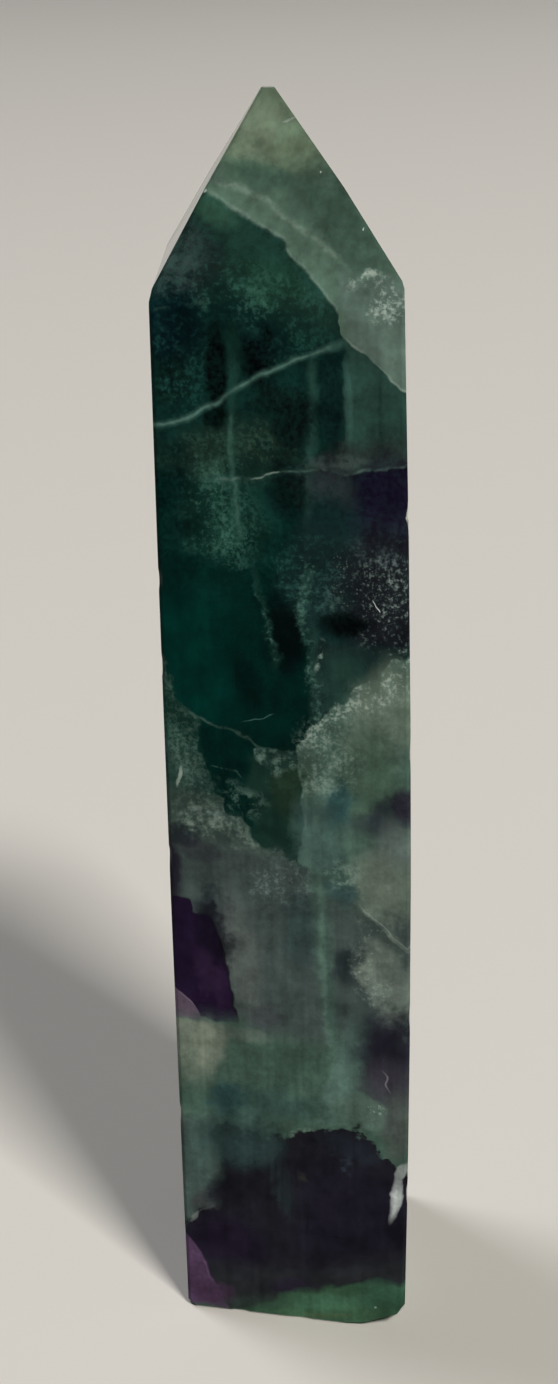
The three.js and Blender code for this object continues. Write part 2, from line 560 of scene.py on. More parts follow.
BANDING: tuple[Bed, ...] = (
    Bed("upper zones", (
        Layer("#082421", over(across((-9, 81.5), (13, 81.5)), 2.5)),
        Layer("#1b362f", over(across((-9, 96.5), (0, 95.5), (4, 93.5), (13, 92)), 4.0)),
        Layer("#002d28", Patch((-5.6, 66.0), (3.4, 5.5), soft=1.4)),
        Layer("#001b19", Patch((-6.6, 77.0), (1.8, 5.5), soft=1.2), strength=0.8),
        Layer("#01110f", Patch((-1.2, 64.2), (1.0, 2.4), 20, soft=1.2), strength=0.6),
        Layer(
            "#05302a", Patch((-3.4, 72.0), (2.0, 3.6), soft=1.4), strength=0.6, grain=Grain.LUMPS,
            cover=0.5, crisp=0.1,
        ),
    )),
    Bed("point", (
        Layer("#43574b", over(POINT_BAND_FOOT, 0.35)),
        Layer("#5a6a58", over(across((-5, 103.9), (3, 105.4), (6, 106)), 3.6)),
        Layer("#6a7866", Patch((-1.0, 107.0), (1.3, 1.6), soft=1.4), strength=0.6),
        Layer("#586450", Patch((2.6, 105.0), (2.2, 1.2), -25, soft=1.4), strength=0.6),
        Layer("#384b41", Patch((6.2, 101.0), (4.0, 1.9), -42, soft=1.4), strength=0.95),
        Layer("#3b5347", Patch((-0.6, 103.9), (3.0, 0.7), -12, soft=1.2), strength=0.7),
        Layer("#4a5f53", within(over(POINT_BAND_FOOT, 0.25), under(POINT_BAND_HEAD, 1.0)), strength=0.95),
        Layer(
            "#74857a",
            Vein(
                across(
                    (-4.4, 103.5), (-1, 102.7), (1.3, 101.3), (3, 100.2), (5, 99.1), (6.4, 97.9), (9, 96),
                ),
                0.8, (-4.4, 6.2),
            ),
            strength=0.42, grain=Grain.GRIT, cover=0.6, crisp=0.1,
        ),
        Layer(
            "#71837a", Vein(POINT_BAND_FOOT, 0.7, (-4.4, 7.2)), strength=0.34, grain=Grain.GRIT,
            cover=0.6, crisp=0.1,
        ),
        Layer("#4e5f58", within(over(MILK_SIDE, 0.6), under(MILK_HEAD, 1.2), over(POINT_BAND_FOOT, 0.3))),
        Layer(
            "#8e9b93", Patch((10.6, 95.2), (1.5, 1.3), -15), strength=0.8, grain=Grain.DUST, cover=0.42,
            crisp=0.6,
        ),
        Layer(
            "#8e9b93", Patch((8.6, 96.7), (1.5, 0.6), 10), strength=0.7, grain=Grain.GRIT, cover=0.42,
            crisp=0.6,
        ),
        Layer(
            "#7d8b83", Vein(across((7.2, 92.5), (9, 90.9), (12.4, 88.1)), 0.45, (7.4, 12.2)),
            strength=0.7,
        ),
    )),
    Bed("dark window", (
        Layer("#2c493c", Patch((-3.9, 101.3), (1.8, 0.7), -25, soft=1.4), strength=0.8),
        Layer("#1b3a2d", Patch((1.4, 96.6), (2.6, 1.5), -20, soft=1.4), strength=0.6),
        Layer("#202a2b", Patch((-6.0, 98.0), (2.1, 2.4), 40, soft=1.4), strength=0.8),
        Layer("#03161d", Patch((-6.6, 93.4), (2.1, 3.0), soft=1.0), strength=0.9),
        Layer("#05130f", Patch((-6.4, 88.9), (1.6, 1.2), 30, soft=1.0), strength=0.7),
        Layer(
            "#4a5f5c", Patch((-6.0, 98.0), (2.2, 1.9), 40), strength=0.26, grain=Grain.GRIT, cover=0.48,
            crisp=0.3,
        ),
        Layer(
            "#3a5f53", Patch((-0.2, 95.6), (5.0, 1.6), -8, soft=1.2), strength=0.42, grain=Grain.DUST,
            cover=0.42,
        ),
        Layer("#22473d", Patch((2.6, 92.2), (3.2, 1.4), 15), strength=0.45, grain=Grain.DUST, cover=0.42),
        Layer(
            "#1d4440", Patch((-5.6, 90.6), (2.2, 3.4), 10, soft=1.0), strength=0.5, grain=Grain.DUST,
            cover=0.38,
        ),
        Layer(
            "#2f4a41", Vein(across((-8, 94.2), (-5, 94.9), (-2, 95.2)), 0.5, (-7.6, -2.5)), strength=0.5,
            grain=Grain.CLOUDS, cover=0.5,
        ),
        Layer("#010304", Patch((-2.95, 90.0), (0.8, 3.2), soft=0.7)),
        Layer("#010508", Patch((0.35, 91.0), (1.3, 2.1), 8, soft=0.7)),
        Layer("#0e2a24", Patch((-1.5, 90.0), (0.45, 3.4), soft=0.9), strength=0.85),
    )),
    Bed("between the veins", (
        Layer(
            "#26403a",
            within(
                over(upward((82, 7.4), (86, 7.0), (91, 7.3)), 0.6), under(POINT_BAND_FOOT, 0.3),
                over(LEVEL_VEIN, 2.0),
            ),
        ),
        Layer(
            "#293231",
            within(
                over(upward((81, 5.0), (86, 6.6)), 1.8),
                under(across((4, 84.4), (12, 84.6), rough=True), 2.0), over(LEVEL_VEIN, 0.3),
            ),
            strength=0.9,
        ),
        Layer("#34524c", Patch((7.4, 88.0), (0.3, 2.8), 3, soft=0.9), strength=0.5),
        Layer("#1b302c", Vein(upward((83, 9.9), (90, 9.8)), 0.6, (84, 89.5), 2.0), strength=0.6),
        Layer("#081d1c", Patch((6.2, 87.3), (0.75, 3.4), soft=1.0), strength=0.9),
        Layer(
            "#26453f",
            Vein(upward((60, 4.4), (68, 4.5), (76, 4.1), (84, 4.5), (92, 4.8)), 1.3, (62, 91), 3.0),
            strength=0.75,
        ),
        Layer(
            "#233a31", Patch((-1.8, 83.4), (4.6, 2.0), 5, soft=1.4), strength=0.7, grain=Grain.LUMPS,
            cover=0.6, crisp=0.2,
        ),
        Layer(
            "#3c5546", Patch((-1.8, 83.4), (4.4, 1.9), 5, soft=1.0), strength=0.5, grain=Grain.DUST,
            cover=0.42, crisp=0.4,
        ),
        Layer(
            "#45594a", Patch((0.9, 83.9), (1.6, 1.1), 5), strength=0.5, grain=Grain.GRIT, cover=0.42,
            crisp=0.3,
        ),
        Layer("#010706", Patch((-3.05, 86.0), (1.0, 0.75), 10, soft=0.9), strength=0.95),
        Layer(
            "#06100f", Patch((1.6, 88.0), (1.8, 1.0), 20, soft=1.0), strength=0.85, grain=Grain.GRIT,
            cover=0.66,
        ),
        Layer(
            "#050d0c", Patch((3.0, 85.6), (1.4, 2.4), -10, soft=1.0), strength=0.95, grain=Grain.GRIT,
            cover=0.66,
        ),
        Layer("#33504a", Vein(UPPER_VEIN, 1.1, (-8.6, 7.3)), strength=0.7),
        Layer(
            "#4f6a62", Vein(UPPER_VEIN, 0.5, (-8.6, 6)), strength=0.5, grain=Grain.GRIT, cover=0.62,
            crisp=0.1,
        ),
    )),
    Bed("purple and dust", (
        Layer(
            "#100e19",
            within(
                under(LEVEL_VEIN, 0.3),
                over(upward((64, 7.5), (74, 6.8), (78, 6.4), (82.2, 4.4), rough=True), 2.8),
                over(across((5, 69), (12, 66)), 4.0),
            ),
        ),
        Layer("#1c1230", Patch((10.6, 79.2), (2.2, 3.0), soft=1.4), strength=0.7),
        Layer(
            "#2d3539", Patch((5.4, 80.9), (1.9, 1.6), soft=1.4), strength=0.85, grain=Grain.LUMPS,
            cover=0.65, crisp=0.1,
        ),
        Layer("#102529", Patch((6.0, 77.3), (1.9, 2.2), soft=1.4), strength=0.9),
        Layer("#172c2c", Patch((5.0, 73.0), (2.4, 3.8), soft=1.4), strength=0.9),
        Layer("#202329", Patch((10.2, 72.4), (3.0, 4.4), soft=1.4), strength=0.75),
        Layer(
            "#183a32", Patch((-2.3, 78.2), (2.9, 2.8), 10, soft=1.8), strength=0.65, grain=Grain.LUMPS,
            cover=0.62, crisp=0.1,
        ),
        Layer(
            "#496e61", Patch((-2.8, 78.0), (2.0, 2.8), 20, soft=2.0), strength=0.36, grain=Grain.DUST,
            cover=0.42,
        ),
        Layer(
            "#040b0d", Patch((2.7, 80.4), (1.2, 1.8), 15, soft=1.2), strength=0.85, grain=Grain.GRIT,
            cover=0.66,
        ),
        Layer("#02090b", Patch((2.2, 68.2), (1.4, 2.8), soft=1.0), strength=0.9),
        Layer(
            "#1a2d2c",
            within(over(upward((58, 4.0), (68, 4.6)), 1.0), under(across((4, 68.0), (12, 67.6)), 1.4)),
        ),
        Layer("#223e38", Patch((6.7, 64.4), (1.5, 1.9), soft=1.4), strength=0.8),
        Layer(
            "#5b6766",
            within(
                over(upward((66, 7.4), (72, 5.5), (77, 8.0)), 3.0),
                under(across((3, 74.5), (12, 76.5)), 4.0),
                over(across((3, 71), (8, 68.5), (12, 66)), 2.0),
            ),
            strength=0.42, grain=Grain.DUST, cover=0.4, crisp=0.5,
        ),
        Layer(
            "#868f8e", Patch((10.4, 71.0), (2.0, 3.2), soft=1.4), strength=0.65, grain=Grain.DUST,
            cover=0.36, crisp=0.6,
        ),
        Layer(
            "#6b7573", Patch((8.2, 72.8), (2.4, 2.6), soft=1.2), strength=0.5, grain=Grain.SPECKS,
            cover=0.34,
        ),
        Layer(
            "#2f554f", Patch((4.4, 73.6), (2.4, 2.6), soft=1.2), strength=0.5, grain=Grain.DUST,
            cover=0.4, crisp=0.5,
        ),
        Layer("#020406", Patch((7.0, 69.4), (1.8, 0.9), soft=1.0)),
    )),
    Bed("streaks", (
        Layer(
            "#1d3c35", Vein(upward((75, -1.5), (84, -1.9), (93, -1.5)), 1.5, (76, 91), 3.0), strength=0.6,
        ),
        Layer(
            "#3a574e",
            Vein(
                upward((75.5, -1.3), (77, -1.5), (79, -1.6), (81, -1.8), (83, -1.95), (86.6, -1.75)), 0.6,
                (76.5, 86.4),
            ),
            strength=0.55, grain=Grain.GRIT, cover=0.62, crisp=0.1,
        ),
        Layer("#1d4039", Vein(MIDDLE_STREAK, 1.2, (65.5, 74), 2.5), strength=0.5),
        Layer(
            "#41625b", Vein(MIDDLE_STREAK, 0.9, (66, 71.6)), strength=0.7, grain=Grain.DUST, cover=0.45,
            crisp=0.5,
        ),
        Layer("#1f3d37", Vein(RIGHT_STREAK, 1.4, (61, 74)), strength=0.7),
        Layer(
            "#4b6a62", Vein(RIGHT_STREAK, 1.5, (61, 75)), strength=0.6, grain=Grain.DUST, cover=0.45,
            crisp=0.5,
        ),
        Layer(
            "#7a928b", Vein(upward((64, 4.6), (66, 4.8), (67.6, 5.2), (69, 4.8)), 0.6, (65.4, 68)),
            strength=0.7, grain=Grain.GRIT, cover=0.5, crisp=0.7,
        ),
        Layer(
            "#2c4944", Vein(LEVEL_VEIN, 1.0, (-5.6, 5)), strength=0.5, grain=Grain.CLOUDS, cover=0.55,
            crisp=0.1,
        ),
        Layer(
            "#50655e", Vein(LEVEL_VEIN, 0.4, (-3.0, 12.2)), strength=0.48, grain=Grain.GRIT, cover=0.52,
            crisp=0.3,
        ),
        Layer("#7a8b85", Vein(LEVEL_VEIN, 0.24, (-0.2, 2.0)), strength=0.6, grain=Grain.GRIT, cover=0.6),
        Layer(
            "#3f4b4a", Patch((6.4, 82.8), (2.2, 0.5), 4, soft=1.0), strength=0.6, grain=Grain.GRIT,
            cover=0.55,
        ),
        Layer(
            "#c5cfcb", Vein(across((9.3, 71.6), (9.5, 71.2), (9.95, 70.6)), 0.26, (9.3, 9.95), 0.1),
            strength=0.9,
        ),
    )),
    Bed("lower right", (
        Layer("#3d534b", within(under(RISING_EDGE, 0.4), over(WEDGE_RIGHT, 0.25))),
        Layer("#56665b", Patch((10.2, 61.6), (2.4, 3.6), -20, soft=1.4), strength=0.9),
        Layer("#3a4f43", Patch((9.0, 56.2), (2.0, 3.4), soft=1.4), strength=0.9),
        Layer("#26464a", Patch((6.2, 53.4), (1.2, 1.6), soft=1.4), strength=0.8),
        Layer(
            "#4f685d",
            Vein(upward((44, 4.6), (47, 3.7), (50, 3.9), (53, 4.8), (57, 6.2)), 1.5, (45, 57), 3.0),
            strength=0.6,
        ),
        Layer("#33463c", Patch((3.9, 54.6), (0.55, 2.4), soft=1.2), strength=0.6),
        Layer("#292f36", Patch((10.8, 52.7), (2.6, 1.2), 22, soft=1.2), strength=0.85),
        Layer("#2a2735", Patch((11.9, 53.8), (0.9, 1.3), soft=1.0), strength=0.8),
        Layer(
            "#76847c",
            within(
                under(RISING_EDGE, 0.5), over(WEDGE_RIGHT, 0.4),
                over(
                    across(
                        (2.4, 56.4), (4, 57.6), (6, 59.4), (8, 61.2), (9.6, 61.6), (12.2, 63.2),
                        rough=True,
                    ),
                    2.4,
                ),
            ),
            strength=0.3, grain=Grain.DUST, cover=0.42, crisp=0.5,
        ),
        Layer(
            "#9aa69f",
            within(
                under(RISING_EDGE, 0.5), over(WEDGE_RIGHT, 0.4),
                over(
                    across((3.4, 58.9), (6, 61.2), (8, 62.6), (9.6, 62.2), (12.2, 64.4), rough=True), 1.4,
                ),
            ),
            strength=0.34, grain=Grain.DUST, cover=0.42, crisp=0.6,
        ),
        Layer(
            "#718079", Patch((5.2, 57.6), (2.4, 2.6), soft=1.2), strength=0.45, grain=Grain.DUST,
            cover=0.45, crisp=0.5,
        ),
    )),
    Bed("left wedge", (
        Layer(
            "#163029",
            within(
                over(upward((47, 0.5), (54, -1.2), (58.4, -0.4), rough=True), 1.6),
                under(WEDGE_RIGHT, 0.25), under(across((-1, 57.6), (3, 57.4)), 1.2),
            ),
        ),
        Layer("#223527", Patch((1.9, 54.6), (1.2, 2.2), soft=1.2), strength=0.8),
        Layer("#16362f", under(WEDGE_LEFT, 0.8)),
        Layer(
            "#233c36",
            within(under(WEDGE_LEFT, 0.8), under(across((-8, 58.5), (-4, 56.5), rough=True), 2.0)),
        ),
        Layer(
            "#31423d",
            within(under(WEDGE_LEFT, 0.9), under(across((-8, 54), (-4, 53), (2, 50), rough=True), 1.6)),
        ),
        Layer(
            "#5a6d65",
            within(
                under(WEDGE_LEFT, 0.3), over(upward((48, -2.0), (51, -4.2), (54, -7.2), (66, -8.6)), 1.6),
                over(across((-8, 50.5), (2, 47)), 2.0),
            ),
            strength=0.35, grain=Grain.DUST, cover=0.45, crisp=0.4,
        ),
        Layer(
            "#7e8c84", Patch((-4.4, 50.6), (3.0, 1.6), -25, soft=1.2), strength=0.4, grain=Grain.GRIT,
            cover=0.42, crisp=0.3,
        ),
        Layer(
            "#496159",
            Vein(
                across(
                    (-8.4, 61.4), (-6.2, 60.9), (-4, 60.0), (-2.4, 59.5), (-1, 58.9), (-0.3, 58.3),
                    (0.8, 58.1), (2.6, 57.95),
                ),
                0.5, (-7, 2.6),
            ),
            strength=0.45, grain=Grain.GRIT, cover=0.55, crisp=0.1,
        ),
        Layer(
            "#365550", Vein(across((-1.6, 60.4), (0, 60.95), (1.2, 61.25)), 0.2, (-1.4, 1)), strength=0.7,
        ),
        Layer(
            "#3a5750",
            Vein(across((-4.4, 56.2), (-3.6, 56.05), (-2.4, 55.9), (-1.8, 55.4)), 0.3, (-4.2, -1.9)),
            strength=0.6, grain=Grain.GRIT, cover=0.6,
        ),
        Layer(
            "#5c7068", Vein(WEDGE_RIGHT, 0.4, (49, 57.8)), strength=0.5, grain=Grain.GRIT, cover=0.55,
            crisp=0.1,
        ),
        Layer(
            "#213c36",
            within(
                under(across((-1, 58.2), (2.9, 58.0)), 0.3),
                over(across((-0.6, 57.6), (0.6, 56.2), (1.2, 55.9), (2.0, 56.4), (2.8, 56.9)), 0.5),
                over(upward((55, -0.5), (58.4, -0.7)), 0.2), under(WEDGE_RIGHT, 0.3),
            ),
            strength=0.8,
        ),
        Layer(
            "#5d736b",
            within(
                under(across((-1, 58.2), (2.9, 58.0)), 0.3),
                over(across((-0.6, 57.4), (0.6, 56.0), (1.2, 55.7), (2.0, 56.2), (2.8, 56.7)), 0.8),
                over(upward((55, -0.5), (58.4, -0.7)), 0.2), under(WEDGE_RIGHT, 0.3),
            ),
            strength=0.6, grain=Grain.GRIT, cover=0.48, crisp=0.5,
        ),
        Layer(
            "#4c645c", Patch((-1.8, 53.8), (1.9, 1.2), -25, soft=1.0), strength=0.55, grain=Grain.GRIT,
            cover=0.42, crisp=0.5,
        ),
        Layer("#808c85", Patch((-7.25, 55.0), (0.15, 0.75), -12, soft=1.0), strength=0.6),
    )),
    Bed("mauve body", (
        Layer(
            "#3b4746",
            under(
                across(
                    (-8.6, 50.5), (-4, 49.3), (0, 48.6), (3, 47.0), (5, 45.0), (12.4, 43.4), rough=True,
                ),
                3.0,
            ),
        ),
        Layer("#384f4c", Patch((4.6, 50.0), (1.8, 3.2), 12, soft=1.4), strength=0.7),
        Layer("#4d5856", Patch((11.2, 49.6), (1.8, 2.2), soft=1.2), strength=0.8),
        Layer("#5a665d", Patch((10.2, 45.8), (2.2, 2.8), 25, soft=1.2), strength=0.9),
        Layer(
            "#6d8279", Patch((6.9, 47.0), (1.5, 1.3), soft=1.2), strength=0.4, grain=Grain.GRIT,
            cover=0.46, crisp=0.4,
        ),
        Layer("#2b4347", Patch((6.6, 45.2), (1.2, 1.0), soft=1.2), strength=0.6),
        Layer(
            "#5d706b", Patch((1.6, 45.4), (2.4, 1.8), soft=1.2), strength=0.45, grain=Grain.DUST,
            cover=0.42, crisp=0.5,
        ),
        Layer("#1e2429", Patch((-7.3, 49.6), (1.2, 1.0), 20, soft=1.2), strength=0.85),
        Layer("#2b2733", Patch((-5.6, 48.2), (1.5, 0.8), -10, soft=1.4), strength=0.45),
        Layer(
            "#2a3338", Patch((-4.4, 43.0), (1.6, 1.2), -30, soft=1.2), strength=0.8, grain=Grain.LUMPS,
            cover=0.62, crisp=0.2,
        ),
        Layer("#495150", Patch((-2.4, 38.4), (1.4, 4.8), 6, soft=1.4), strength=0.8),
        Layer("#2f4141", Patch((3.0, 41.5), (1.3, 2.8), soft=1.4), strength=0.8),
        Layer("#3c4246", Patch((-0.4, 31.8), (1.3, 1.5), soft=0.9), strength=0.7),
        Layer(
            "#3f574f",
            Vein(upward((22, 6.5), (30, 5.8), (36, 5.2), (42, 4.9), (46.5, 4.6)), 2.6, (23, 46), 3.0),
            strength=0.8,
        ),
        Layer(
            "#5a736a",
            Vein(upward((26, 5.9), (30, 5.2), (36, 4.9), (42, 4.9), (47.5, 4.4)), 1.0, (27, 47), 2.0),
            strength=0.2, grain=Grain.GRIT, cover=0.6, crisp=0.1,
        ),
        Layer(
            "#6e7b72", Patch((9.8, 39.0), (1.6, 2.1), -20, soft=1.4), strength=0.8, grain=Grain.LUMPS,
            cover=0.7, crisp=0.1,
        ),
        Layer("#5a6660", Patch((11.0, 36.2), (1.5, 2.6), soft=1.2), strength=0.8),
        Layer("#1f292f", Patch((7.0, 38.2), (0.92, 1.5), -10, soft=1.4), strength=0.68),
        Layer(
            "#33403f",
            within(
                under(across((7, 45.0), (8.2, 43.8), (12.4, 39.6)), 0.2),
                over(across((7, 43.6), (8.2, 42.4), (12.4, 38.2)), 1.6),
                over(upward((38, 8.2), (46, 8.2)), 0.8),
            ),
            strength=0.75,
        ),
        Layer("#76847c", Vein(across((8.0, 44.3), (12.4, 40.1)), 0.4, (8.2, 12.2)), strength=0.45),
        Layer(
            "#8b9a92", Patch((9.6, 38.6), (1.6, 2.8), soft=1.4), strength=0.5, grain=Grain.DUST,
            cover=0.36, crisp=0.6,
        ),
    )),
    Bed("purple window", (
        Layer(
            "#221630", within(under(WINDOW_HEAD, 0.3), under(WINDOW_SIDE, 0.2), over(WINDOW_FOOT, 0.2)),
        ),
        Layer("#120e1c", Patch((-4.9, 40.4), (1.2, 2.6), 14, soft=1.4), strength=0.75),
        Layer(
            "#0f0c17", Patch((-6.6, 39.2), (2.2, 3.2), soft=1.4), strength=0.55, grain=Grain.LUMPS,
            cover=0.5, crisp=0.1,
        ),
        Layer("#33233f", Patch((-5.0, 36.0), (0.95, 2.4), 20, soft=1.4), strength=0.6),
        Layer("#0c0a12", Vein(WINDOW_SIDE, 0.4, (31.5, 42)), strength=0.6),
        Layer(
            "#4f4453",
            within(
                under(across((-8.8, 34.6), (-8, 34.2), (-6.9, 33.5), (-6.2, 31.9)), 0.25),
                over(across((-8.8, 31.7), (-6, 31.5)), 0.5), under(upward((31, -5.9), (35, -6.6)), 0.3),
            ),
        ),
        Layer(
            "#6c6272", Vein(across((-8.2, 34.2), (-6.9, 33.4), (-6.2, 32.1)), 0.25, (-8.0, -6.3)),
            strength=0.5,
        ),
        Layer("#1f1a29", Patch((-8.2, 46.2), (0.8, 2.4), soft=0.9), strength=0.9),
    )),
    Bed("pale green band", (
        Layer(
            "#3a5047",
            under(across((-8.8, 31.8), (-3, 31.7), (2, 30.6), (6, 30), (12.4, 25), rough=True), 2.8),
        ),
        Layer(
            "#555f56",
            within(
                under(across((-8.8, 31.6), (-4, 31.2), (0, 30.6)), 0.6),
                under(
                    upward((22, -6.4), (24, -5.6), (26, -5.0), (28, -4.2), (31, -3.7), rough=True), 1.2,
                ),
                over(across((-9, 25.5), (-3, 26)), 4.0),
            ),
        ),
        Layer("#6c766a", Patch((-6.4, 28.6), (0.8, 2.4), -18, soft=1.4), strength=0.4),
        Layer("#4a5a50", Patch((-7.6, 26.8), (0.6, 1.8), -14, soft=1.3), strength=0.5),
        Layer("#4d5a54", Patch((-2.2, 30.4), (1.8, 0.6), -6, soft=1.2), strength=0.7),
        Layer("#264549", Patch((-4.0, 23.4), (1.3, 1.4), soft=1.4), strength=0.8),
        Layer("#2f4845", Patch((0.2, 23.4), (3.6, 1.3), soft=1.4), strength=0.6),
        Layer("#48605a", Patch((6.8, 27.2), (1.2, 4.6), -14, soft=1.4), strength=0.85),
        Layer("#1e1c29", Patch((10.4, 30.2), (2.2, 2.9), soft=1.4), strength=0.95),
        Layer("#37353f", Patch((10.4, 26.4), (2.0, 2.2), soft=1.4), strength=0.8),
        Layer(
            "#6c6a70",
            Vein(upward((25.9, 10.7), (26.6, 10.35), (27.4, 10.6), (27.9, 10.2)), 0.3, (26, 27.8)),
            strength=0.6,
        ),
        Layer("#4a5e56", Patch((8.6, 23.4), (2.4, 1.5), -10, soft=1.2), strength=0.9),
        Layer("#414846", Patch((11.6, 22.4), (1.2, 3.0), soft=1.2), strength=0.9),
        Layer(
            "#7f958c", Patch((8.8, 23.6), (1.2, 0.6), 10, soft=1.0), strength=0.7, grain=Grain.DUST,
            cover=0.4, crisp=0.7,
        ),
        Layer(
            "#6e8078", Patch((3.0, 20.6), (1.4, 0.5), 10, soft=1.0), strength=0.5, grain=Grain.GRIT,
            cover=0.45, crisp=0.5,
        ),
    )),
    Bed("slate foot and painted glow", (
        Layer(
            "#3c4c49",
            within(
                under(across((-8.8, 22), (-4, 21), (0, 20.5), rough=True), 2.0), under(SLATE_LEFT, 0.5),
            ),
        ),
        Layer("#48605c", Patch((-6.8, 18.6), (0.9, 2.6), -6, soft=1.4), strength=0.6),
        Layer("#1e1e26", within(under(SLATE_HEAD, 0.5), over(SLATE_LEFT, 1.2))),
        Layer("#283c3b", Patch((-2.8, 19.2), (2.9, 2.4), soft=1.4), strength=0.85),
        Layer("#1e1b29", Patch((7.4, 12.0), (4.4, 4.4), soft=1.6), strength=0.75),
        Layer("#221b2e", Patch((-4.6, 7.6), (3.0, 2.6), soft=1.4), strength=0.8),
        Layer("#212730", Patch((7.0, 19.6), (2.4, 1.0), -10, soft=1.2), strength=0.8),
        Layer(
            "#2b3b3c",
            Vein(
                upward((10, 2.4), (12, 1.6), (14.5, 0.9), (17, 0.2), (20.4, -1.0), rough=True), 3.2,
                (11.5, 20), 3.5,
            ),
            strength=0.5, grain=Grain.FIBRES, cover=0.6, crisp=0.1,
        ),
        Layer("#3a3f42", Patch((-6.4, 12.2), (1.3, 1.1), 30, soft=1.2), strength=0.85),
        Layer(
            "#4b5351",
            Vein(across((-8.4, 10.0), (-7.4, 10.7), (-6.2, 11.4), (-5.0, 12.3)), 0.4, (-8.2, -5.4)),
            strength=0.4,
        ),
        Layer("#666f6c", Patch((-7.6, 10.4), (0.2, 0.6), -35, soft=1.0), strength=0.5),
        Layer("#191a22", Patch((-4.7, 13.4), (1.3, 1.5), soft=1.2), strength=0.8),
        Layer(
            "#2c3440", Patch((6.8, 17.6), (0.5, 0.9), soft=1.2), strength=0.7, grain=Grain.GRIT,
            cover=0.5,
        ),
        Layer(
            "#2e302b", Patch((2.7, 15.9), (0.4, 0.6), 20, soft=1.2), strength=0.6, grain=Grain.GRIT,
            cover=0.5,
        ),
        Layer(
            "#282c2f", within(under(across((4, 5.6), (8, 7.6), (12.4, 8.6)), 2.4), over(FOOT_GREEN_AND_GLOW, 1.0)),
            strength=0.7,
        ),
        Layer("#2a2137", Patch((1.6, 3.6), (1.6, 0.8), 10, soft=1.3), strength=0.6),
        Layer("#4a3852", under(LILAC_SIDE, 0.3)),
        Layer(
            "#614f66", Vein(upward((3.4, -6.15), (4.6, -6.6), (5.6, -7.0)), 0.22, (3.6, 5.4), 0.4),
            strength=0.6,
        ),
        Layer("#3e2e43", Patch((-6.0, 1.9), (1.5, 1.1), soft=1.3), strength=0.85),
        # Partly painted light: the green strip, its brighter patches and the olive-yellow line paint the
        # glow of floor light through the base over the stone's green zone.
        Layer("#35523f", under(FOOT_GREEN_AND_GLOW, 1.1)),
        Layer("#3c6350", Patch((4.4, 2.2), (2.6, 0.8), 8, soft=1.4), strength=0.45),
        Layer("#2f4f40", Patch((10.6, 3.8), (2.4, 1.5), 14, soft=1.3), strength=0.8),
        Layer("#44523a", Vein(across((2.4, 0.5), (5, 0.65), (7.4, 1.3)), 0.9, (2.6, 7)), strength=0.5),
        Layer("#2a3a33", Patch((-1.8, 1.2), (3.0, 0.8), 12, soft=1.4), strength=0.5),
        Layer("#7d9889", Patch((9.4, 2.4), (0.14, 0.14), soft=0.6), strength=0.8),
    )),
    Bed("white chip and painted glints", (
        Layer("#8d9496", Patch((11.3, 14.9), (0.42, 2.4), -8, soft=0.9), strength=0.95),
        Layer("#7a8281", Patch((11.75, 17.6), (0.5, 0.9), -20, soft=0.5), strength=0.9),
        # Painted highlight: a paler streak along the white chip, over its own whitish colour.
        Layer(
            "#b0b7b8", Patch((11.15, 14.2), (0.16, 1.5), -6, soft=0.9), strength=0.4, grain=Grain.GRIT,
            cover=0.6,
        ),
        # Painted highlights: small pale dots and a dash that stand for glints on the point's edges and
        # tip.
        Layer("#a9b5ae", Patch((4.4, 104.0), (0.05, 0.08), soft=0.8), strength=0.8),
        Layer("#a9b5ae", Patch((8.2, 100.2), (0.04, 0.1), soft=0.8), strength=0.7),
        Layer("#a9b5ae", Patch((-4.6, 102.7), (0.06, 0.14), -40, soft=0.8), strength=0.7),
        Layer("#8f9b94", Patch((1.5, 107.8), (0.5, 0.1), 25, soft=1.0), strength=0.5),
        # Painted highlight: a pale glint on the chip in the right edge.
        Layer("#c3cdb8", Patch((12.1, 78.6), (0.2, 0.5), soft=0.8), strength=0.7),
    )),
    Bed("faint veil", (
        Layer(
            "#1c4a42", over(across((-9, 74), (0, 72), (13, 66)), 8.0), strength=0.14, grain=Grain.DUST,
            cover=0.5, crisp=0.4,
        ),
    )),
)


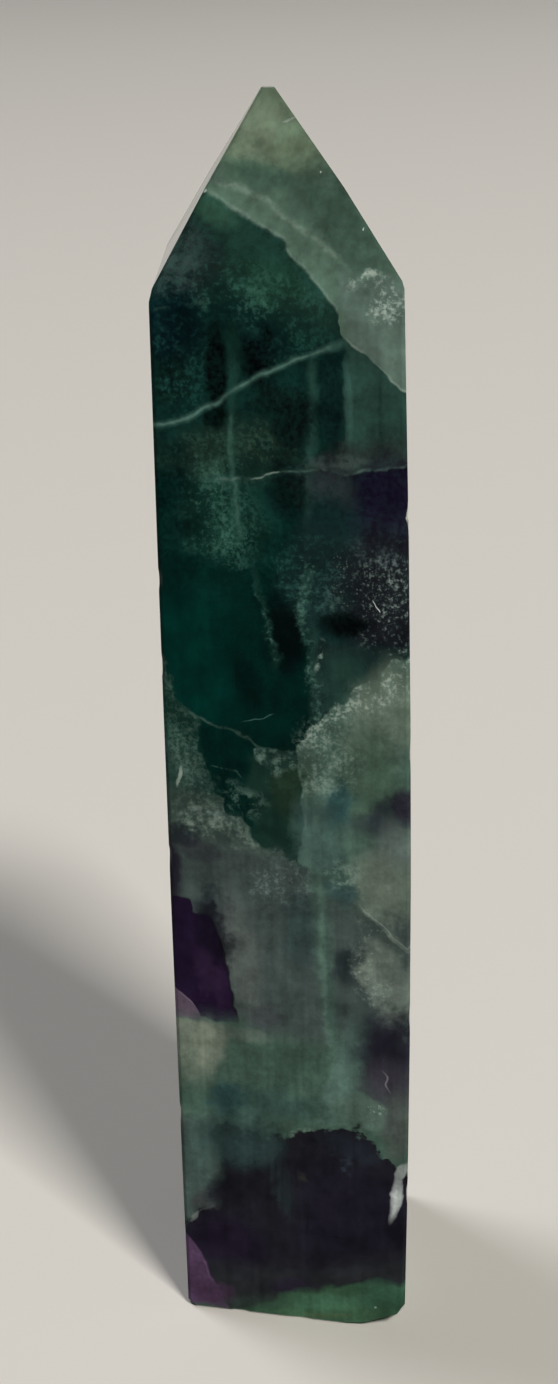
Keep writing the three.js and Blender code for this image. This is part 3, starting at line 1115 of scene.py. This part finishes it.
@dataclass(frozen=True)
class Fluorite:
    """Banded fluorite, ground flat and polished by hand.

    It gives the eye a glassy skin over bands that are clear and dark in some zones and milky in
    others, with fine dust and healed cracks inside.

    Attributes:
        refraction: fluorite's index of refraction.
        polish: roughness of the polished skin.
        gain: how much paler the stone's own colours are than they look in this light, on the sides.
        point_gain: the same on the point, which leans back and gets more light from above.
        clearest: share of the light that goes on into the darkest, clearest crystal.
        milkiest: share of it that goes on into the palest, milkiest crystal.
        lean: mm that the bands move across and up for each mm of depth.
        swirl: mm that they wander by at the back.
        swirl_size: mm from one such bend to the next.
        waver: mm that they waver by everywhere.
        waver_size: mm from one waver to the next.
        ragged: mm that rough edges stray by, in lumps.
        frayed: mm that they stray by, in grit.
        lump: size of the largest lumps that edges stray in, mm.
        grit: size of the grit, mm.
        dust: size of the finest dust, mm. The real dust is finer still, and is drawn coarser here.
        fibre: width and length of the upright fibres, mm.
        speck: size of the specks, mm.
        taken: red, green and blue light that a metre of clear crystal takes.
        front: left edge and width of the front side, mm.
        skin: mm under the front side down to which the bands are as on it.
        knee: mm up to where the front's point facet starts.
        slope: mm that this facet leans back for each mm up.
        point: mm of height that the slope is kept for.
        turning: mm up between which the light of the sides turns into that of the point.
        octaves: layers of noise in lumps, grit, dust and wavers.
        fibre_octaves: layers of noise in fibres.
        swirl_octaves: layers of noise in swirls.
        harsh: how strong the finest layers of grit and dust are, from 0 to 1.
        SPAN: noise seldom strays further from its middle than one in this.
        gathered: how far grit and dust gather in the clouds.
        speck_rim: how far from a speck's middle it starts to show, and shows in full, in speck sizes.
        mottling: how much paler or darker each grain makes the colour.
        mottled: part of a grain's noise over which it does so.
        clear_light: brightness of a colour that is as clear as it gets.
        milky_light: brightness of a colour that is as milky as it gets.
        chalky_light: brightness of a colour that is polished least well.
        pit: depth of the finest unevenness of the skin, mm.
        pitted: how much of that depth shows.
    """

    refraction: float = 1.434
    polish: float = 0.07
    gain: float = 1.6
    point_gain: float = 1.42
    clearest: float = 0.35
    milkiest: float = 0.0
    lean: Pair = (0.55, 0.3)
    swirl: float = 9.0
    swirl_size: float = 16.0
    waver: float = 0.22
    waver_size: float = 1.8
    ragged: float = 0.6
    frayed: float = 0.35
    lump: float = 2.6
    grit: float = 0.8
    dust: float = 0.42
    fibre: Pair = (0.7, 14.0)
    speck: float = 0.26
    taken: Triple = (330.0, 170.0, 185.0)
    front: Pair = (-8.45, 20.7)
    skin: float = 0.6
    knee: float = 94.15
    slope: float = 0.643
    point: float = 20.0
    turning: Pair = (93.2, 95.2)
    octaves: float = 3.0
    fibre_octaves: float = 2.0
    swirl_octaves: float = 1.0
    harsh: float = 0.7
    SPAN: ClassVar[float] = 4.0
    gathered: float = 0.45
    speck_rim: Pair = (0.55, 0.15)
    mottling: tuple[tuple[Grain, float], ...] = (
        (Grain.CLOUDS, 0.2),
        (Grain.GRIT, 0.14),
        (Grain.DUST, 0.1),
        (Grain.FIBRES, 0.12),
    )
    mottled: Pair = (0.3, 0.7)
    clear_light: float = 0.01
    milky_light: float = 0.09
    chalky_light: float = 0.12
    pit: float = 0.02
    pitted: float = 0.04

    def unfold(self, tree: NodeTree, stone: NodeSocket) -> Place:
        """Carries the front's banding through the stone.

        The bands lean and wander with depth, and fold back where they would run off a side.

        Args:
            tree: the material's node tree.
            stone: a place in the stone in mm.

        Returns:
            The place on the front side that each point's banding comes from.
        """
        low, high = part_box(NODE)
        thick = (high.y - low.y) / MM
        left, width = self.front
        parts = add(tree, "ShaderNodeSeparateXYZ", (stone,)).outputs
        foot, head = low.y / MM, low.y / MM + self.point * self.slope
        facet = (parts[2], self.knee, self.knee + self.point, foot, head)
        facet = add(tree, "ShaderNodeMapRange", facet).outputs[0]
        depth = add(tree, "ShaderNodeMath", (parts[1], facet), operation="SUBTRACT").outputs[0]
        depth = add(tree, "ShaderNodeMapRange", (depth, self.skin, thick, 0.0, thick)).outputs[0]
        share = (depth, 2 * self.swirl / thick)
        share = add(tree, "ShaderNodeMath", share, operation="MULTIPLY").outputs[0]
        moved = [parts[0], parts[2]]
        swirl = (self.swirl_size, self.swirl_octaves, share)
        waver = (self.waver_size, self.octaves, self.SPAN * self.waver)
        for size, detail, reach in (swirl, waver):
            drift = {"Vector": stone, "Scale": 1 / size, "Detail": detail}
            drift = add(tree, "ShaderNodeTexNoise", drift).outputs["Color"]
            drift = add(tree, "ShaderNodeSeparateColor", (drift,)).outputs
            for i in (0, 1):
                off = add(tree, "ShaderNodeMath", (drift[i], 0.5), operation="SUBTRACT").outputs[0]
                inputs = (off, reach, moved[i])
                moved[i] = add(tree, "ShaderNodeMath", inputs, operation="MULTIPLY_ADD").outputs[0]
        side = (depth, self.lean[0], moved[0])
        side = add(tree, "ShaderNodeMath", side, operation="MULTIPLY_ADD").outputs[0]
        side = add(tree, "ShaderNodeMath", (side, left), operation="SUBTRACT").outputs[0]
        side = add(tree, "ShaderNodeMath", (side, width), operation="PINGPONG").outputs[0]
        side = add(tree, "ShaderNodeMath", (side, left), operation="ADD").outputs[0]
        up = (depth, self.lean[1], moved[1])
        return side, add(tree, "ShaderNodeMath", up, operation="MULTIPLY_ADD").outputs[0]

    def grains(self, tree: NodeTree, stone: NodeSocket) -> Grains:
        """Adds the noises that break up the markings, which they all share.

        Args:
            tree: the material's node tree.
            stone: a place in the stone in mm.

        Returns:
            A noise from 0 to 1 for each grain.
        """
        lumps = {"Vector": stone, "Scale": 1 / self.lump, "Detail": self.octaves}
        lumps = add(tree, "ShaderNodeTexNoise", lumps).outputs["Color"]
        lumps = add(tree, "ShaderNodeSeparateColor", (lumps,)).outputs
        wide, tall = self.fibre
        drawn = (stone, (1 / wide, 1 / wide, 1 / tall))
        drawn = add(tree, "ShaderNodeVectorMath", drawn, operation="MULTIPLY").outputs[0]
        fibres = {"Vector": drawn, "Scale": 1.0, "Detail": self.fibre_octaves}
        fibres = add(tree, "ShaderNodeTexNoise", fibres)
        grains = {Grain.LUMPS: lumps[0], Grain.CLOUDS: lumps[1], Grain.FIBRES: fibres.outputs["Fac"]}
        for grain, size in ((Grain.GRIT, self.grit), (Grain.DUST, self.dust)):
            fine = {"Vector": stone, "Scale": 1 / size, "Detail": self.octaves}
            fine["Roughness"] = self.harsh
            fine = add(tree, "ShaderNodeTexNoise", fine).outputs["Fac"]
            fine = (lumps[1], self.gathered, fine)
            fine = add(tree, "ShaderNodeMath", fine, operation="MULTIPLY_ADD").outputs[0]
            fine = (fine, self.gathered / 2)
            grains[grain] = add(tree, "ShaderNodeMath", fine, operation="SUBTRACT").outputs[0]
        cells = add(tree, "ShaderNodeTexVoronoi", {"Vector": stone, "Scale": 1 / self.speck})
        share = add(tree, "ShaderNodeSeparateColor", (cells.outputs["Color"],)).outputs[0]
        dot = (cells.outputs["Distance"], *self.speck_rim)
        dot = add(tree, "ShaderNodeMapRange", dot).outputs[0]
        grains[Grain.SPECKS] = add(tree, "ShaderNodeMath", (dot, share), operation="MULTIPLY").outputs[0]
        return grains

    def roughen(self, tree: NodeTree, fine: Place, grains: Grains) -> Place:
        """Makes a place ragged and frayed.

        Args:
            tree: the material's node tree.
            fine: the place.
            grains: the noises.

        Returns:
            The rough place.
        """
        rough = []
        for socket, lumps in zip(fine, (Grain.LUMPS, Grain.CLOUDS)):
            for grain, amount in ((lumps, self.ragged), (Grain.GRIT, self.frayed)):
                off = add(tree, "ShaderNodeMath", (grains[grain], 0.5), operation="SUBTRACT").outputs[0]
                inputs = (off, self.SPAN * amount, socket)
                socket = add(tree, "ShaderNodeMath", inputs, operation="MULTIPLY_ADD").outputs[0]
            rough.append(socket)
        return rough[0], rough[1]

    def mottle(self, p: Pattern, colour: NodeSocket) -> NodeSocket:
        """Makes a colour uneven, and as pale as it is in plain light.

        Args:
            p: the material's pattern.
            colour: the banding's colour.

        Returns:
            The stone's own colour.
        """
        light = (p.fine[1], *self.turning, self.gain, self.point_gain)
        light = add(p.tree, "ShaderNodeMapRange", light, interpolation_type="SMOOTHSTEP").outputs[0]
        for grain, amount in self.mottling:
            share = (p.grains[grain], *self.mottled, 1 - amount, 1 + amount)
            share = add(p.tree, "ShaderNodeMapRange", share).outputs[0]
            light = add(p.tree, "ShaderNodeMath", (share, light), operation="MULTIPLY").outputs[0]
        pale = {0: colour, "Scale": light}
        return add(p.tree, "ShaderNodeVectorMath", pale, operation="SCALE").outputs[0]

    def material(self) -> Material:
        """Makes the material.

        Returns:
            Banded fluorite with its colour, clearness, roughness and bump from nodes.
        """
        made = bpy.data.materials.new("hand-polished banded fluorite")
        made.use_nodes = True
        tree = made.node_tree
        tree.nodes.clear()
        place = add(tree, "ShaderNodeTexCoord").outputs["Object"]
        stone = {0: place, "Scale": 1 / MM}
        stone = add(tree, "ShaderNodeVectorMath", stone, operation="SCALE").outputs[0]
        fine = self.unfold(tree, stone)
        grains = self.grains(tree, stone)
        p = pattern(tree, fine, self.roughen(tree, fine, grains), grains)
        colour: NodeSocket | Colour = srgb(DEEP)
        for bed in BANDING:
            colour = bed.lay(p, colour)
            p = p.after(colour)
        light = add(tree, "ShaderNodeRGBToBW", (colour,)).outputs[0]
        clear = (light, self.clear_light, self.milky_light, self.clearest, self.milkiest)
        clear = add(tree, "ShaderNodeMapRange", clear).outputs[0]
        rough = (light, self.clear_light, self.chalky_light, self.polish, self.polish * 2)
        bump = {"Height": p.grains[Grain.GRIT], "Strength": self.pitted, "Distance": self.pit * MM}
        inputs = {
            "Base Color": self.mottle(p, colour),
            "Transmission Weight": clear,
            "Roughness": add(tree, "ShaderNodeMapRange", rough).outputs[0],
            "Normal": add(tree, "ShaderNodeBump", bump).outputs[0],
            "IOR": self.refraction,
        }
        surface = add(tree, "ShaderNodeBsdfPrincipled", inputs).outputs[0]
        most = max(self.taken)
        taken = {"Color": (*[1 - t / most for t in self.taken], 1), "Density": most}
        inside = add(tree, "ShaderNodeVolumeAbsorption", taken).outputs[0]
        add(tree, "ShaderNodeOutputMaterial", (surface, inside))
        log.info("fluorite: %d beds of markings", len(BANDING))
        return made


@dataclass(frozen=True)
class Board:
    """Matt white card, which gives an even pale ground with no shine.

    Attributes:
        tint: its colour.
        rough: its roughness.
        shine: its specular level, which is low because card has no skin.
    """

    tint: str = "#e4e1db"
    rough: float = 0.9
    shine: float = 0.1

    def material(self) -> Material:
        """Makes the material.

        Returns:
            The card's plain material.
        """
        made = bpy.data.materials.new("matt white card")
        made.use_nodes = True
        tree = made.node_tree
        tree.nodes.clear()
        inputs = {"Base Color": srgb(self.tint), "Roughness": self.rough}
        inputs["Specular IOR Level"] = self.shine
        surface = add(tree, "ShaderNodeBsdfPrincipled", inputs).outputs[0]
        add(tree, "ShaderNodeOutputMaterial", (surface,))
        return made


# ---- The stone ----


@dataclass(frozen=True)
class Chip:
    """A small chip knocked out of the stone's skin.

    Attributes:
        centre: its middle, mm.
        radius: half its width, mm.
        depth: how far in it goes, mm.
        SLIM: its width for each mm of height.
        UNEVEN: share of its radius that its rim strays by.
        STRAYS: how often it strays in a mm.
    """

    centre: Triple
    radius: float
    depth: float
    SLIM: ClassVar[float] = 0.6
    UNEVEN: ClassVar[float] = 0.5
    STRAYS: ClassVar[float] = 2.5

    def bite(self, place: Vector) -> float:
        """Works out how far in the chip takes one place of the skin.

        Args:
            place: the place, mm.

        Returns:
            Millimetres towards the stone's middle.
        """
        gap = place - Vector(self.centre)
        gap.z *= self.SLIM
        rough = 1 + self.UNEVEN * noise.noise(place * self.STRAYS)
        return self.depth * max(0.0, 1 - (gap.length * rough / self.radius) ** 2)


@dataclass
class Stone:
    """The obelisk in one piece.

    Attributes:
        merged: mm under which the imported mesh's corners are one.
        level: degrees under which its faces are one.
        cell: size of the mesh's cells, mm.
        sliver: mm under which slivers between the cells are merged away.
        rounding: mm that the polish takes off each edge, on either side.
        rounds: faces across each rounded edge.
        shoulder: mm on either side of the edges around the foot of the point, which are the softest.
        shoulder_rounds: faces across each of them.
        shoulder_span: mm up between which they lie.
        shoulder_bend: degrees under which they bend.
        shoulder_length: mm that they are longer than.
        sharp: edges that bend by more than this many degrees are rounded.
        crease: edges that still bend by more than this many degrees afterwards are shaded sharp.
        ripple: mm that hand polishing leaves the sides uneven by.
        ripple_size: mm from one ripple to the next.
        settled: mm above the foot from where the ripples reach their depth.
        half: mm from the middle to a side, where ripples and chips are as deep as they are given.
        chips: chips out of the edges.
    """

    merged: float = 0.001
    level: float = 0.02
    cell: float = 0.5
    sliver: float = 0.002
    rounding: float = 0.1
    rounds: int = 3
    shoulder: float = 0.4
    shoulder_rounds: int = 4
    shoulder_span: Pair = (88.0, 96.5)
    shoulder_bend: float = 20.0
    shoulder_length: float = 3.0
    sharp: float = 8.0
    crease: float = 5.0
    ripple: float = 0.02
    ripple_size: float = 9.0
    settled: float = 3.0
    half: float = 12.0
    chips: tuple[Chip, ...] = (
        Chip((-8.4, -10.4, 72.4), 0.6, 0.1),
        Chip((-8.5, -10.4, 64.9), 0.7, 0.1),
        Chip((-8.6, -10.4, 47.6), 0.6, 0.08),
        Chip((-8.7, -10.4, 21.5), 0.6, 0.1),
        Chip((12.1, -10.4, 78.6), 0.8, 0.16),
        Chip((12.2, -10.4, 58.2), 0.7, 0.1),
        Chip((12.3, -10.4, 33.4), 0.7, 0.1),
        Chip((12.2, -10.4, 15.2), 0.9, 0.15),
        Chip((2.4, -10.4, 0.2), 0.8, 0.12),
        Chip((-3.6, -10.5, 0.2), 0.9, 0.15),
    )

    def cut(self) -> BMesh:
        """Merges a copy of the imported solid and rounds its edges.

        Returns:
            A closed mesh in metres.
        """
        bm = bmesh.new()
        bm.from_mesh(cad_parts[NODE].data)
        bmesh.ops.remove_doubles(bm, verts=bm.verts, dist=self.merged * MM)
        angle = math.radians(self.level)
        bmesh.ops.dissolve_limit(bm, angle_limit=angle, verts=bm.verts, edges=bm.edges)
        level = [e for e in self.edges(bm) if self.around_shoulder(e)]
        self.soften(bm, level, self.shoulder, self.shoulder_rounds)
        rest = [e for e in self.edges(bm) if not self.around_shoulder(e)]
        self.soften(bm, rest, self.rounding, self.rounds)
        return bm

    def edges(self, bm: BMesh) -> list[BMEdge]:
        """Picks the edges that bend enough to be rounded."""
        return [e for e in bm.edges if e.calc_face_angle(0.0) > math.radians(self.sharp)]

    def around_shoulder(self, edge: BMEdge) -> bool:
        """Tells whether an edge runs along the foot of the point.

        Args:
            edge: the edge.

        Returns:
            True for a long edge between the sides and the point.
        """
        low, high = sorted(vert.co.z / MM for vert in edge.verts)
        slight = edge.calc_face_angle(0.0) < math.radians(self.shoulder_bend)
        inside = low > self.shoulder_span[0] and high < self.shoulder_span[1]
        return slight and inside and edge.calc_length() > self.shoulder_length * MM

    def soften(self, bm: BMesh, edges: list[BMEdge], width: float, rounds: int) -> None:
        """Rounds edges.

        Args:
            bm: the mesh.
            edges: its edges to round.
            width: mm that it takes off on either side of each edge.
            rounds: faces across each rounded edge.
        """
        bmesh.ops.bevel(
            bm,
            geom=edges,
            offset=width * MM,
            offset_type="OFFSET",
            segments=rounds,
            profile=0.5,
            affect="EDGES",
            clamp_overlap=True,
            material=-1,
        )

    def halve(self, bm: BMesh, faces: list[BMFace], axis: int, low: int, high: int) -> None:
        """Cuts faces at the middle of a run of cells, then each half, down to single cells.

        Args:
            bm: the mesh to cut.
            faces: the faces in the run.
            axis: the axis that the cells follow each other along.
            low: number of the run's first plane.
            high: number of its last plane.
        """
        if high - low < 2 or not faces:
            return
        middle = (low + high) // 2
        at, normal = Vector(), Vector()
        at[axis], normal[axis] = middle * self.cell * MM, 1
        parts = {part for face in faces for part in (*face.verts, *face.edges)}
        geom = [*faces, *parts]
        dist = self.sliver * MM
        cut = bmesh.ops.bisect_plane(bm, geom=geom, plane_co=at, plane_no=normal, dist=dist)
        halves: tuple[list[BMFace], list[BMFace]] = ([], [])
        for face in cut["geom"]:
            if isinstance(face, BMFace):
                halves[face.calc_center_median()[axis] > at[axis]].append(face)
        self.halve(bm, halves[0], axis, low, middle)
        self.halve(bm, halves[1], axis, middle, high)

    def grid(self, bm: BMesh) -> None:
        """Cuts the mesh into even cells along all three axes.

        Args:
            bm: the mesh to cut.
        """
        low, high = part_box(NODE)
        for axis in (2, 0, 1):
            first = math.floor(low[axis] / (self.cell * MM))
            last = math.ceil(high[axis] / (self.cell * MM))
            self.halve(bm, list(bm.faces), axis, first, last)
        bmesh.ops.remove_doubles(bm, verts=bm.verts, dist=self.sliver * MM)
        bmesh.ops.dissolve_degenerate(bm, dist=self.sliver * MM, edges=bm.edges)

    def polish(self, bm: BMesh) -> None:
        """Takes a little off the sides in slow ripples, as a hand polish does, and knocks the chips out.

        Args:
            bm: the mesh to polish.
        """
        for vert in bm.verts:
            spot = vert.co / MM
            depth = self.ripple * (noise.noise(spot / self.ripple_size) + 1) / 2
            depth *= min(spot.z / self.settled, 1.0)
            depth += max(chip.bite(spot) for chip in self.chips)
            vert.co -= Vector((spot.x, spot.y, 0)) / self.half * depth * MM

    def sort(self, bm: BMesh) -> None:
        """Sorts the faces by their corners, because bevel leaves a few in an order that varies.

        Args:
            bm: the mesh to sort.
        """
        bm.verts.index_update()
        faces = sorted(bm.faces, key=lambda face: [vert.index for vert in face.verts])
        for place, face in enumerate(faces):
            face.index = place
        bm.faces.sort()

    def build(self) -> Object:
        """Builds, dresses and mounts the stone.

        Returns:
            The finished piece.
        """
        bm = self.cut()
        self.grid(bm)
        self.polish(bm)
        self.sort(bm)
        mesh = bpy.data.meshes.new("fluorite_stone")
        bm.to_mesh(mesh)
        bm.free()
        mesh.shade_smooth()
        mesh.set_sharp_from_angle(angle=math.radians(self.crease))
        stone = bpy.data.objects.new("fluorite_stone", mesh)
        bpy.context.scene.collection.objects.link(stone)
        mesh.materials.append(Fluorite().material())
        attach(stone, BODY)
        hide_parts(NODE)
        log.info("%s: %d faces", stone.name, len(mesh.polygons))
        return stone


# ---- What stands around it ----


class Shape(Enum):
    """What kind of lamp one is."""

    PANEL = "AREA"  # a soft panel, a few metres off
    FAR = "SUN"  # a soft light so far away that it falls evenly


@dataclass(frozen=True)
class Lamp:
    """One soft lamp.

    Attributes:
        name: its name.
        shape: what kind it is.
        towards: azimuth from +X and elevation that it hangs at, in degrees.
        power: watts for a panel, watts for each square metre for a far one.
        spread: width of a panel in metres, or how many degrees wide a far one looks.
        tint: its colour.
        reach: how many metres off it hangs.
    """

    name: str
    shape: Shape
    towards: Pair
    power: float
    spread: float
    tint: str
    reach: float = 5.0


@dataclass
class Studio:
    """Floor, light and camera.

    Attributes:
        floor: half the floor's width, mm.
        eye: the camera's place, mm.
        yaw: degrees that it is turned to the left of +Y.
        pitch: degrees that it looks down.
        roll: degrees that it leans.
        lens: focal length, mm on a 36 mm sensor along the frame's long side.
        clip: how near and how far it sees, in metres.
        lamps: the lamps.
        squat: height of a panel for each metre of its width.
        dim: what the room looks like everywhere else than behind the stone.
        wall: what it looks like behind the stone.
        wall_side: how far towards +Y the wall starts, and is all there, as parts of a direction.
        wall_top: how far up it is gone, and still all there, likewise.
    """

    floor: float = 3200.0
    eye: Triple = (32.98, -159.41, 124.28)
    yaw: float = 11.93
    pitch: float = 21.84
    roll: float = -1.22
    lens: float = 52.02
    clip: Pair = (0.01, 20.0)
    lamps: tuple[Lamp, ...] = (
        Lamp("key", Shape.PANEL, (-46, 47), 184.0, 1.0, "#fffbf4"),
        Lamp("side", Shape.FAR, (158, 58), 0.96, 20.0, "#fbfcff"),
    )
    squat: float = 0.8
    dim: str = "#2c2c2c"
    wall: str = "#c6c2bb"
    wall_side: Pair = (0.1, 0.6)
    wall_top: Pair = (0.5, 0.1)

    def lay_floor(self) -> None:
        """Lays a plain pale floor."""
        bm = bmesh.new()
        bmesh.ops.create_grid(bm, x_segments=1, y_segments=1, size=self.floor * MM)
        mesh = bpy.data.meshes.new("floor")
        bm.to_mesh(mesh)
        bm.free()
        mesh.materials.append(Board().material())
        floor = bpy.data.objects.new("floor", mesh)
        bpy.context.scene.collection.objects.link(floor)
        floor.visible_glossy = False
        log.info("floor: %.1f m across", 2 * self.floor * MM)

    def hang_lamp(self, lamp: Lamp) -> None:
        """Hangs one lamp so that it faces the stone.

        Args:
            lamp: the lamp.
        """
        azimuth, elevation = (math.radians(a) for a in lamp.towards)
        flat = math.cos(elevation)
        way = Vector((math.cos(azimuth) * flat, math.sin(azimuth) * flat, math.sin(elevation)))
        data = bpy.data.lights.new(lamp.name, lamp.shape.value)
        data.energy = lamp.power
        data.color = srgb(lamp.tint)[:3]
        if lamp.shape is Shape.PANEL:
            data.shape, data.size, data.size_y = "RECTANGLE", lamp.spread, lamp.spread * self.squat
        else:
            data.angle = math.radians(lamp.spread)
        held = bpy.data.objects.new(lamp.name, data)
        held.location = way * lamp.reach
        held.rotation_euler = way.to_track_quat("Z", "Y").to_euler()
        held.visible_camera = False
        bpy.context.scene.collection.objects.link(held)
        log.info("%s lamp: %s", lamp.name, lamp.shape.value.lower())

    def fill(self) -> None:
        """Fills the room with weak light, from a pale wall behind the stone and dim ones elsewhere."""
        world = bpy.data.worlds.new("soft room")
        world.use_nodes = True
        tree = world.node_tree
        tree.nodes.clear()
        way = add(tree, "ShaderNodeTexCoord").outputs["Generated"]
        parts = add(tree, "ShaderNodeSeparateXYZ", (way,)).outputs
        masks = []
        for part, ends in ((parts[1], self.wall_side), (parts[2], self.wall_top)):
            mask = add(tree, "ShaderNodeMapRange", (part, *ends), interpolation_type="SMOOTHSTEP")
            masks.append(mask.outputs[0])
        wall = add(tree, "ShaderNodeMath", tuple(masks), operation="MULTIPLY").outputs[0]
        room = {0: wall, 6: srgb(self.dim), 7: srgb(self.wall)}
        room = add(tree, "ShaderNodeMix", room, data_type="RGBA").outputs[2]
        glow = add(tree, "ShaderNodeBackground", (room, 1.0)).outputs[0]
        add(tree, "ShaderNodeOutputWorld", (glow,))
        bpy.context.scene.world = world
        log.info("room: soft fill")

    def stand_camera(self) -> None:
        """Stands the camera at its angle, with depth of field off."""
        yaw, pitch, roll = (math.radians(a) for a in (self.yaw, self.pitch, self.roll))
        flat = math.cos(pitch)
        way = Vector((-math.sin(yaw) * flat, math.cos(yaw) * flat, -math.sin(pitch)))
        right = Vector((math.cos(yaw), math.sin(yaw), 0))
        up = right.cross(way)
        leant = right * math.cos(roll) + up * math.sin(roll)
        top = up * math.cos(roll) - right * math.sin(roll)
        data = bpy.data.cameras.new("camera")
        data.sensor_width = 36.0
        data.lens = self.lens
        data.clip_start, data.clip_end = self.clip
        camera = bpy.data.objects.new("camera", data)
        turn = Matrix((leant, top, -way)).transposed().to_4x4()
        camera.matrix_world = Matrix.Translation(Vector(self.eye) * MM) @ turn
        bpy.context.scene.collection.objects.link(camera)
        bpy.context.scene.camera = camera
        log.info("camera: %.0f mm from the stone", Vector(self.eye).length)

    def build(self) -> None:
        """Sets up the floor, the lights and the camera."""
        self.stand_camera()
        self.lay_floor()
        for lamp in self.lamps:
            self.hang_lamp(lamp)
        self.fill()
        bpy.context.scene.view_settings.view_transform = "Standard"


def main() -> None:
    """Builds the scene."""
    logging.basicConfig(level=logging.INFO, format="%(name)s: %(message)s")
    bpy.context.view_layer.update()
    Studio().build()
    Stone().build()


if __name__ == "__main__":
    main()
